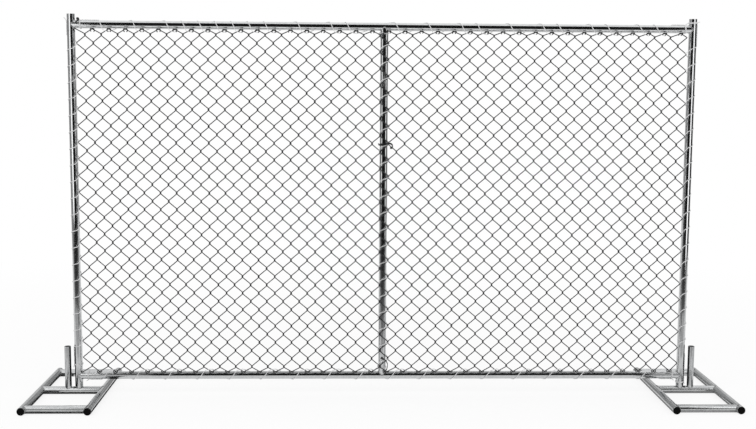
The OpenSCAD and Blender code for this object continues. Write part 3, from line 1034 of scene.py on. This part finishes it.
@dataclass
class Lacing:
    """The five wires that tie the mesh to the frame."""

    sizes: FrameSizes  # places of the frame
    fabric: ChainLinkFabric  # the mesh that is tied
    wire: float = 0.0032  # diameter of the wire
    spacing: float = 0.0026  # distance between rings of the swept wire
    sides: int = 8  # corners of the wire's section
    seed: int = 5  # seed of the uneven spacing along the top rail
    skips: tuple[tuple[int, float], ...] = ((2, 0.45), (4, 0.55))  # columns from turn to turn there, and how often
    rail_bend: float = 0.0075  # radius of the turns at the mesh's upper and lower edges
    turn_steps: int = 64  # steps of one turn
    outline_steps: int = 360  # directions in which a turn's outline is looked for
    clear: float = 0.0006  # gap that the turns keep from a pipe before they are smoothed
    back_share: float = 0.45  # share of a turn's advance after its bend that it has made at its rearmost point
    last_way: float = 0.04  # advance of the last turn after its bend
    tight_pitch: float = 1.1  # advance of a tight turn, in diameters of the wire

    def top_columns(self) -> Array:
        """Columns of the mesh that are tied to the top rail, all clear of its end and of the brace.

        Returns:
            The columns' numbers.
        """
        skips, chances = zip(*self.skips)
        wires = self.fabric.wires
        columns = np.cumsum(np.random.default_rng(self.seed).choice(skips, wires // 2, p=chances))
        return columns[(columns < wires - 2) & (columns != wires // 2 - 1)]

    def windings(self) -> dict[Run, Winding]:
        """Where and how each wire is wound.

        The lowest bend at the left post stays free, because the swivelled free spigot passes it.

        Returns:
            The winding of each run.
        """
        s, f = self.sizes, self.fabric
        right, left, up, down = (1, 0, 0), (-1, 0, 0), (0, 0, 1), (0, 0, -1)
        hook = (f.wire + self.wire) / 2
        top, bottom = f.node(self.top_columns(), f.rows), f.node(np.arange(4, f.wires, 4), 0)
        left_edge, right_edge = f.node(0, np.arange(4, f.rows, 2)), f.node(f.wires, np.arange(f.rows - 3, 2, -2))
        centre = f.node(f.wires // 2 + 1, np.arange(2, f.rows, 2))
        return {
            Run.TOP: Winding(
                (0, 0, s.top_z), right, down, top, past=self.rail_bend, bend=self.rail_bend, front=0.026, catch=0.052,
                ends=(-1.462, 1.462), tails=((-0.012, -0.012, 0.006), (0.012, -0.012, 0.006))),
            Run.BOTTOM: Winding(
                (0, 0, s.bottom_z), right, up, bottom, past=self.rail_bend, bend=self.rail_bend, front=0.040,
                catch=0.075, ends=(-1.458, 1.458), tails=((-0.010, -0.008, 0.006), (0.010, -0.008, 0.006))),
            Run.LEFT: Winding(
                (-s.post_x, 0, 0), up, right, left_edge, past=-f.overshoot, bend=hook, front=0.012, catch=0.035,
                ends=(0.150, s.top_z + 0.018), tails=((-0.016, -0.003, 0.004), (0.016, -0.012, 0.004)), tight=(2, 0)),
            Run.RIGHT: Winding(
                (s.post_x, 0, 0), down, left, right_edge, past=-f.overshoot, bend=hook, front=0.016, catch=0.040,
                ends=(-s.top_z - 0.033, -0.064), tails=((-0.004, -0.012, 0.008), (0.010, -0.003, 0.004))),
            Run.CENTRE: Winding(
                (0, 0, 0), up, right, centre, past=f.overshoot, bend=hook, front=0.018, catch=0.036,
                ends=(0.134, s.top_z - 0.034), tails=((-0.008, -0.014, 0.006), (-0.014, -0.010, 0.006)),
                laps=(-0.016, 0.016)),
        }

    def belt(self, laps: Sequence[float], reach: float, bend: float) -> Array:
        """Outline of a taut turn, seen along the pipe.

        The turn is the convex outline round three kinds of circles: the pipe, the mesh's edge where the turn passes
        over it, and the caught mesh wire. Its points are the furthest points of the circles in each direction,
        spread evenly along the outline from the far side of the pipe over its front.

        Args:
            laps: places where the turn passes over the mesh's edge
            reach: distance of the catch from the pipe's axis
            bend: radius of the turn at the catch

        Returns:
            (turn_steps + 1, 2) places towards the mesh and to the front.
        """
        half, plane = self.wire / 2, -self.fabric.plane_y
        over = self.fabric.depth + self.fabric.wire / 2 + half
        pipe = (0.0, 0.0, self.sizes.pipe_radius + half + self.clear)
        circles = [pipe, *((lap, plane, over) for lap in laps), (reach, plane, bend)]
        angle = np.linspace(0, TURN, self.outline_steps + 1)
        cloud = np.concatenate([np.array(place) + radius * circle(angle) for *place, radius in circles])
        furthest = np.argmax(circle(np.pi - angle) @ cloud.T, axis=1)
        return spread(cloud[furthest], self.turn_steps + 1)

    def turns(self, winding: Winding) -> Array:
        """The turns through the mesh, as places along the pipe, towards the mesh and to the front.

        Each turn is a belt that advances along the pipe by straight lines between its foremost, furthest and
        rearmost points.

        Args:
            winding: how the wire is wound

        Returns:
            (points, 3) places.
        """
        catch, starts = winding.catch, winding.starts
        pitches = np.diff(starts, append=starts[-1] + catch + self.last_way)
        share = np.linspace(0, 1, self.turn_steps + 1)
        found = []
        for start, pitch, reach in zip(starts, pitches, winding.reaches):
            belt = self.belt(winding.laps, reach, winding.bend)
            key = [0.0, *share[[belt[:, 1].argmax(), belt[:, 0].argmax(), belt[:, 1].argmin()]], 1.0]
            back = catch + (pitch - catch) * self.back_share
            along = start + np.interp(share, key, [0.0, winding.front, catch, back, pitch])
            found.append(np.column_stack([along, belt]))
        return np.concatenate(found)

    def coil(self, place: float, turns: int) -> Array:
        """Tight turns round the pipe from one place on its far side, as places along, towards and in front.

        A turn lies at the radius times minus cosine and sine of its angle, and advances evenly with that angle.

        Args:
            place: where the turns start along the pipe
            turns: number of turns, or 0 for the place alone

        Returns:
            (points, 3) places.
        """
        angle = np.linspace(0, turns * TURN, turns * self.turn_steps + 1)
        radius = self.sizes.pipe_radius + self.wire / 2 + self.clear
        along = place + angle / TURN * self.wire * self.tight_pitch
        return np.stack([along, -radius * np.cos(angle), radius * np.sin(angle)], -1)

    def patch(self, winding: Winding) -> Patch:
        """A whole wire.

        Its line is joined from the loose end, tight turns, turns through the mesh, tight turns and loose end, spread
        to even spacing and smoothed by a short moving mean, and a circle is carried along it.

        Args:
            winding: how the wire is wound

        Returns:
            The wire's patch.
        """
        first, last = (self.coil(place, turns) for place, turns in zip(winding.ends, winding.tight))
        tails = first[:1] + winding.tails[0], last[-1:] + winding.tails[1]
        local = eased_path(np.concatenate([tails[0], first, self.turns(winding), last, tails[1]]), self.spacing)
        basis = np.array([winding.along, winding.toward, (0, -1, 0)], float)
        path, outward = np.array(winding.origin) + local @ basis, (local * [0, 1, 1]) @ basis
        return sweep(path[None], outward[None], self.wire / 2, self.sides)

    def pieces(self) -> Iterator[Piece]:
        """One piece for each loose end and each lacing wire.

        Yields:
            Each piece.
        """
        for end in LOOSE_ENDS:
            patch = end.patch(self.spacing, self.sides)
            yield Piece(end.name, [patch], MESH_ZINC, "panel", "lacing_wire", crease=WIRE_CREASE)
        for run, winding in self.windings().items():
            yield Piece(f"{run.value}_lacing", [self.patch(winding)], LACING_ZINC, "panel", "lacing_wire",
                        (f"{run.value}_lacing_wire",), WIRE_CREASE)


@dataclass
class Stand:
    """One stand: two long pipes, three cross tubes, two spigots and four end plugs."""

    side: Side  # the end of the panel that it carries
    spigot_wall: float = 0.002  # wall of the spigots
    bead: Bead = Bead()  # the welds between pipes
    foot_bead: Bead = Bead(size=0.0010, lift=0.0001)  # the smaller welds round the spigots' feet
    ground: float = 0.0002  # height under which no weld reaches
    plug_sides: int = 64  # number of facets round a plug
    plug_head: float = 0.0030  # height of a plug's head over the pipe's end
    plug_step: float = 0.001  # how far the head's rim lies inside the pipe's face
    plug_bend: float = 0.0012  # rounding of the head's rim
    plug_bend_steps: int = 5  # rings of that rounding
    plug_dish: tuple[tuple[float, float], ...] = ((0.0100, 0.0006), (0.0128, 0.0006), (0.0140, 0.0))  # radius, depth
    plug_play: float = 0.0001  # gap between a plug's sleeve and the bore
    plug_depth: float = 0.016  # length of the sleeve
    plug_taper: float = 0.0008  # bevel at the sleeve's end

    def node(self, word: str) -> str:
        """The full name of one of the stand's nodes."""
        return f"{self.side.word}_stand_{word}"

    def long_pipes(self) -> dict[str, Pipe]:
        """The outer and inner rails.

        Returns:
            The pipes by their nodes' names.
        """
        found = {}
        for node in map(self.node, ("outer_rail", "inner_rail")):
            low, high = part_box(node)
            radius = (high.x - low.x) / 2
            found[node] = Pipe(Axis.Y, ((low.x + high.x) / 2, 0.0, radius), radius, Cut(low.y), Cut(high.y))
        return found

    def cross_tubes(self) -> dict[str, Pipe]:
        """The three tubes between the long pipes.

        Returns:
            The tubes by their nodes' names.
        """
        ends = sorted(pipe.centre[0] for pipe in self.long_pipes().values())
        found = {}
        for node in map(self.node, ("front_cross_tube", "middle_cross_tube", "rear_cross_tube")):
            low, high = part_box(node)
            radius = (high.z - low.z) / 2
            cuts = [Cut(x, Axis.Y, radius) for x in ends]
            found[node] = Pipe(Axis.X, (0.0, (low.y + high.y) / 2, radius), radius, *cuts)
        return found

    def seat(self) -> Cut:
        """The cope that sits on the middle cross tube."""
        tube = self.cross_tubes()[self.node("middle_cross_tube")]
        return Cut(tube.centre[2], Axis.X, tube.radius)

    def spigots(self) -> dict[str, Pipe]:
        """The panel spigot, which goes through the middle cross tube, and the free spigot, which sits on it.

        Returns:
            The spigots by their nodes' names.
        """
        panel, free = self.node("panel_spigot"), self.node("free_spigot")
        low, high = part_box(panel)
        radius, top = (high.y - low.y) / 2, Cut(high.z)
        feet = {panel: (middle(f"{self.side.word}_post").x, Cut(low.z)), free: (middle(free).x, self.seat())}
        return {node: Pipe(Axis.Z, (x, 0, 0), radius, foot, top, self.spigot_wall) for node, (x, foot) in feet.items()}

    def welds(self) -> list[Patch]:
        """The beads between pipes and round the spigots' feet, pressed flat where they meet the ground.

        Returns:
            The beads' patches.
        """
        beads = self.bead.patches(self.cross_tubes().values())
        beads += [self.foot_bead.patch(spigot, self.seat(), 1) for spigot in self.spigots().values()]
        low = [-np.inf, -np.inf, self.ground]
        return [Patch(np.maximum(bead.points, low), bead.quads, bead.uv) for bead in beads]

    def plug(self, pipe: Pipe, place: float, outward: int) -> Patch:
        """One end plug, turned about the long pipe's axis.

        The profile goes from the flat of the head over a shallow dish and a rounded rim to the step on the pipe, in
        to the sleeve and along it to its end.

        Args:
            pipe: the long pipe
            place: where its end lies
            outward: sign of the direction out of the pipe

        Returns:
            The plug's patch.
        """
        head, bend, depth = self.plug_head, self.plug_bend, self.plug_depth
        rim, sleeve = pipe.radius - self.plug_step, pipe.radius - pipe.wall - self.plug_play
        dish = [(radius, head - sunk) for radius, sunk in self.plug_dish]
        rounded = bend * circle(np.linspace(0, math.pi / 2, self.plug_bend_steps))[:, ::-1] + (rim - bend, head - bend)
        tail = [(rim, 0.0), (sleeve, 0.0), (sleeve, -depth), (sleeve - self.plug_taper, -depth - self.plug_taper)]
        profile = np.concatenate([dish, rounded, tail])
        angle = np.linspace(0, TURN, self.plug_sides + 1) * -outward
        ring = np.insert(circle(angle), 1, 0.0, axis=1)
        centre = np.array([pipe.centre[0], place, pipe.radius])
        points = centre + profile[:, None, :1] * ring + profile[:, None, 1:] * np.array([0, outward, 0])
        uv = np.stack(np.broadcast_arrays(angle * pipe.radius, profile[:, 1:]), -1)
        return tube_patch(points[None, ::-1, :-1], uv[None, ::-1], closed=False)

    def pieces(self) -> Iterator[Piece]:
        """The stand's pipes, spigots, welds and plugs.

        Yields:
            Each piece.
        """
        body = f"{self.side.word}_stand"
        long_pipes = self.long_pipes()
        for node, pipe in (long_pipes | self.cross_tubes() | self.spigots()).items():
            rides = f"{self.side.word}_spigot" if node.endswith("panel_spigot") else body
            yield Piece(f"{node}_pipe", [pipe.patch()], STAND_ZINC, rides, "stand_pipe", (node,))
        yield Piece(self.node("welds"), self.welds(), WELD_ZINC, body, "stand_pipe")
        plugs = [self.plug(pipe, cut.place, -inward) for pipe in long_pipes.values() for cut, inward in pipe.ends]
        yield Piece(self.node("plugs"), plugs, PLUG_PLASTIC, body, "plug_plastic", (self.node("end_plugs"),))


# Camera and studio


@dataclass(frozen=True)
class PhotoCamera:
    """The photograph's camera, fitted to the pipes' edges."""

    width: int = 756  # width of the photograph, in pixels
    focal: float = 1151.1  # focal length, in pixels
    place: Triple = (-0.2004, -5.6313, 1.5560)  # place of the camera
    pitch: float = 6.604  # downward tilt, in degrees
    yaw: float = 1.784  # turn to the right, in degrees
    roll: float = 0.404  # turn about the line of sight, in degrees
    sensor: float = 36.0  # width of the sensor, in millimetres

    def make(self) -> Object:
        """Makes the scene's camera.

        Returns:
            The camera's object.
        """
        pitch, yaw, roll = (math.radians(a) for a in (self.pitch, self.yaw, self.roll))
        level = Vector((math.sin(yaw), math.cos(yaw), 0))
        side = Vector((math.cos(yaw), -math.sin(yaw), 0))
        ahead = level * math.cos(pitch) - Vector((0, 0, 1)) * math.sin(pitch)
        above = Vector((0, 0, 1)) * math.cos(pitch) + level * math.sin(pitch)
        right = side * math.cos(roll) + above * math.sin(roll)
        up = above * math.cos(roll) - side * math.sin(roll)
        data = bpy.data.cameras.new("photo_camera")
        data.sensor_fit = "HORIZONTAL"
        data.sensor_width = self.sensor
        data.lens = self.focal / self.width * self.sensor
        made = new_object("photo_camera", data)
        made.matrix_world = Matrix([*zip(right, up, -ahead, self.place), (0, 0, 0, 1)])
        bpy.context.scene.camera = made
        return made


def plate(name: str, corners: Sequence[Triple], parent: Object | None) -> tuple[Object, NodeSketch]:
    """Makes a flat stage object with a material of its own.

    Args:
        name: name of the object and its material
        corners: its corners in order
        parent: what it moves with, or None

    Returns:
        The object, and the sketch of its material.
    """
    mesh = bpy.data.meshes.new(name)
    mesh.from_pydata(corners, [], [tuple(range(len(corners)))])
    made = new_object(name, mesh)
    made.parent = parent
    material, sketch = new_material(name)
    mesh.materials.append(material)
    return made, sketch


# Front edge and depth, along Y, of the dark lines on the ground under a stand's pipes, and their height: painted shadow
# that the pipes' undersides reflect
LONG_PIPE, FRONT_TUBE, MIDDLE_TUBE = (-0.38, 0.76), (-0.378, 0.036), (-0.038, 0.038)
SHADOW_LINE_Z = 0.0008


@dataclass(frozen=True)
class Card:
    """A card of the studio, which only shows in reflections."""

    name: str  # name of the card
    start: tuple[float, float]  # one end of its lower edge, along X and Y
    end: tuple[float, float]  # the other end
    low: float  # height of its lower edge
    high: float  # height of its upper edge
    light: float  # strength of its plain light
    lean: float = 0.0  # how far the upper edge stands behind the lower one, along Y
    near: float = 0.0  # distance in front beyond which the light falls off with its square, or 0 for even light
    follows: str = ""  # the body that it moves with, or the ground, or nothing
    one_sided: bool = False  # whether its back is see-through

    @classmethod
    def line(cls, side: Side, word: str, left: float, right: float, along: tuple[float, float], light: float) -> "Card":
        """A dark line on the ground under one of a stand's pipes: a painted shadow, which darkens the pipe's underside
        where it reflects the ground.

        Args:
            side: the stand's side
            word: the pipe's word in the line's name
            left: left edge of the line
            right: right edge of the line
            along: front edge and depth of the line, along Y
            light: strength of its plain light

        Returns:
            The card.
        """
        (front, depth), follows = along, f"{side.word}_stand"
        name = f"{side.word}_{word}_line"
        return cls(name, (left, front), (right, front), SHADOW_LINE_Z, SHADOW_LINE_Z, light, depth, follows=follows)

    @classmethod
    def gap(cls, side: Side, x: float = 1.533, half: float = 0.020) -> "Card":
        """A dark card between a stand's free spigot and the leg beside it: painted shade in that gap, which the pipes
        reflect.
        """
        ends, follows = [(side.value * x, y) for y in (-half, half)], f"{side.word}_stand"
        return cls(f"{side.word}_gap", *ends, low=0.039, high=0.246, light=0.01, follows=follows)

    def make(self, anchors: dict[str, Object]) -> Object:
        """Makes the card, hidden from all but reflections.

        Args:
            anchors: what a card can follow, by name

        Returns:
            The card's object.
        """
        (x0, y0), (x1, y1) = self.start, self.end
        corners = [(x0, y0, self.low), (x1, y1, self.low)]
        corners += [(x, y + self.lean, self.high) for x, y in (self.end, self.start)]
        made, s = plate(self.name, corners, anchors.get(self.follows))
        strength = self.light
        if self.near:
            ahead = s.add("SeparateXYZ", {0: s.place()}).outputs[1]
            times = s.math("MAXIMUM", s.math("DIVIDE", ahead, -self.near), 1.0)
            strength = s.math("DIVIDE", self.light, s.math("MULTIPLY", times, times))
        face = s.add("Emission", {"Color": WHITE, "Strength": strength}).outputs[0]
        if self.one_sided:
            back = s.add("NewGeometry").outputs["Backfacing"]
            face = s.add("MixShader", {0: back, 1: face, 2: s.add("BsdfTransparent").outputs[0]}).outputs[0]
        s.cover(face)
        made.visible_camera = made.visible_diffuse = made.visible_shadow = False
        made.visible_transmission = made.visible_volume_scatter = False
        return made


@dataclass(frozen=True)
class Studio:
    """Pale floor, white surround, soft lamps, and cards that the zinc reflects, among them dark cards of painted shadow
    and shade at the stands.
    """

    floor_size: float = 40.0  # half the width of the floor
    floor_colour: Triple = (0.9, 0.9, 0.9)  # colour of the floor
    floor_glow: float = 0.84  # share of plain white in what the floor shows
    floor_fade: tuple[float, float] = (2.0, 5.0)  # distances between which that share rises to all
    ambient: float = 0.9  # strength of the surround for diffuse light
    lamps: tuple[tuple[str, Triple, float], ...] = (  # name, place and power
        ("left_lamp", (-3.5, -4.0, 4.5), 60.0), ("right_lamp", (4.0, -3.0, 4.0), 35.0))
    lamp_size: float = 2.5  # width of a lamp
    aim: Triple = (0, 0, 0.9)  # the place that the lamps point at
    cards: tuple[Card, ...] = (  # name, ends of the lower edge, heights of both edges, light, lean
        Card("front_flag", (-3.9, -4.5), (4.5, -4.5), 0.0, 9.0, 0.010),
        Card("left_strip", (-2.70, -1.20), (-1.80, -1.50), 0.70, 2.05, 1.5),
        Card("right_strip", (2.00, -1.56), (2.98, -1.20), 0.42, 2.05, 1.5),
        Card("right_flag", (3.02, -1.22), (3.3, 0.40), 0.42, 3.2, 0.01),
        Card("top_fill", (-2.1, -0.48), (2.1, -0.48), 1.556, 1.556, 0.95, 0.40, one_sided=True),
        Card("low_ceiling", (-1.62, 1.0), (1.62, 1.0), 1.556, 1.556, 0.45, -1.6, one_sided=True),
        Card("left_low_card", (-2.05, -0.62), (-1.25, -0.62), 0.04, 0.32, 0.45),
        Card("right_low_card", (1.42, -0.25), (1.765, -0.25), 0.13, 0.37, 0.45),
        Card("left_wall", (-6.5, -9.0), (-6.5, 6.0), 0.0, 5.0, 0.30),
        Card("right_wall", (6.5, -9.0), (6.5, 6.0), 0.0, 5.0, 0.30),
        Card("back_left_wall", (-6.5, 6.0), (-1.8, 6.0), 0.0, 5.0, 0.60),
        Card("back_middle_wall", (-1.8, 6.0), (1.8, 6.0), 0.0, 5.0, 0.28),
        Card("back_right_wall", (1.8, 6.0), (6.5, 6.0), 0.0, 5.0, 0.60),
        Card("right_back_fill", (-0.5, 5.9), (1.4, 5.9), 1.65, 3.6, 0.50),
        Card("ground", (-20.0, -20.0), (20.0, -20.0), 0.0004, 0.0004, 0.75, 40.0, 0.8, "ground"),
        # dark lines under the left stand's pipes: painted shadow that their undersides reflect
        Card.line(Side.LEFT, "outer", -1.690, -1.610, LONG_PIPE, 0.02),
        Card.line(Side.LEFT, "inner", -1.382, -1.325, LONG_PIPE, 0.02),
        Card.line(Side.LEFT, "front", -1.67, -1.40, FRONT_TUBE, 0.02),
        Card.line(Side.LEFT, "middle", -1.67, -1.40, MIDDLE_TUBE, 0.02),
        # dark cards between the free spigots and the legs: painted shade in the gap, seen in reflections
        Card.gap(Side.LEFT),
        Card.gap(Side.RIGHT),
        # dark and grey lines under the right stand's pipes: painted shadow that their undersides reflect
        Card.line(Side.RIGHT, "inner", 1.348, 1.382, LONG_PIPE, 0.15),
        Card.line(Side.RIGHT, "outer", 1.648, 1.690, LONG_PIPE, 0.20),
        Card.line(Side.RIGHT, "front", 1.40, 1.67, FRONT_TUBE, 0.35),
        Card.line(Side.RIGHT, "middle", 1.40, 1.67, MIDDLE_TUBE, 0.25),
    )

    def seen(self, s: NodeSketch) -> Socket:
        """One for rays of the camera, of reflections and through glass, and zero for diffuse light.

        Args:
            s: sketch of the material or the world

        Returns:
            The socket.
        """
        path = s.add("LightPath")
        camera, glossy, through = (path.outputs[f"Is {kind} Ray"] for kind in ("Camera", "Glossy", "Transmission"))
        return s.math("MAXIMUM", s.math("MAXIMUM", camera, glossy), through)

    def surround(self) -> None:
        """White to the eye and in reflections, softer as a light."""
        world = bpy.context.scene.world or bpy.data.worlds.new("surround")
        bpy.context.scene.world = world
        world.use_nodes = True
        s = NodeSketch(world.node_tree)
        strength = s.add("MapRange", {"Value": self.seen(s), "To Min": self.ambient, "To Max": 1.0}).outputs[0]
        s.feed(world.node_tree.nodes["Background"], {"Color": WHITE, "Strength": strength})

    def ground(self, bodies: dict[str, Object]) -> Object:
        """An empty at the level of the ground.

        It stays at the lower of the two spigots' bodies, so that the ground is under the stands when the panel is
        lifted off them.

        Args:
            bodies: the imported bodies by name

        Returns:
            The empty.
        """
        made = new_object("ground_level", None)
        for side in Side:
            keep = made.constraints.new("FLOOR")
            keep.target = bodies[f"{side.word}_spigot"]
            keep.floor_location = "FLOOR_NEGATIVE_Z"
        return made

    def floor(self, ground: Object) -> None:
        """A pale floor that keeps a faint shadow.

        Args:
            ground: the empty at the level of the ground
        """
        half, (near, far) = self.floor_size, self.floor_fade
        _, s = plate("floor", [(-half, -half, 0), (half, -half, 0), (half, half, 0), (-half, half, 0)], ground)
        pale = s.add("BsdfDiffuse", {"Color": (*self.floor_colour, 1)}).outputs[0]
        glow = s.add("Emission", {"Color": WHITE, "Strength": 1.0}).outputs[0]
        away = s.add("VectorMath", {0: s.place()}, operation="LENGTH").outputs["Value"]
        plain = s.add("MapRange", {"Value": away, "From Min": near, "From Max": far, "To Min": self.floor_glow})
        share = s.math("MULTIPLY", self.seen(s), plain.outputs[0])
        s.cover(s.add("MixShader", {0: share, 1: pale, 2: glow}).outputs[0])

    def lamp(self, name: str, place: Triple, power: float) -> None:
        """Adds a soft square lamp aimed at the middle of the panel.

        Args:
            name: the lamp's name
            place: its place
            power: its power, in watts
        """
        data = bpy.data.lights.new(name, "AREA")
        data.energy = power
        data.size = self.lamp_size
        made = new_object(name, data)
        made.location = place
        made.rotation_mode = "QUATERNION"
        made.rotation_quaternion = (Vector(self.aim) - Vector(place)).to_track_quat("-Z", "Y")
        made.visible_glossy = False

    def build(self, bodies: dict[str, Object]) -> None:
        """Sets the view transform and makes floor, surround, lamps and cards.

        Args:
            bodies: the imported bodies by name
        """
        bpy.context.scene.view_settings.view_transform = "Standard"
        ground = self.ground(bodies)
        self.surround()
        self.floor(ground)
        for lamp in self.lamps:
            self.lamp(*lamp)
        for card in self.cards:
            card.make(bodies | {"ground": ground})


def main() -> None:
    """Builds the camera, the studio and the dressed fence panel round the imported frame."""
    logging.basicConfig(level=logging.INFO, format="%(name)s: %(message)s")
    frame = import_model()
    PhotoCamera().make()
    Studio().build(frame["bodies"])
    sizes = FrameSizes.read()
    fabric = ChainLinkFabric(sizes)
    for assembly in (PipeFrame(sizes), fabric, Lacing(sizes, fabric), Stand(Side.LEFT), Stand(Side.RIGHT)):
        for piece in assembly.pieces():
            made = piece.make()
            LOG.info("%s rides on %s: %d faces", made.name, piece.body, len(made.data.polygons))


if __name__ == "__main__":
    main()
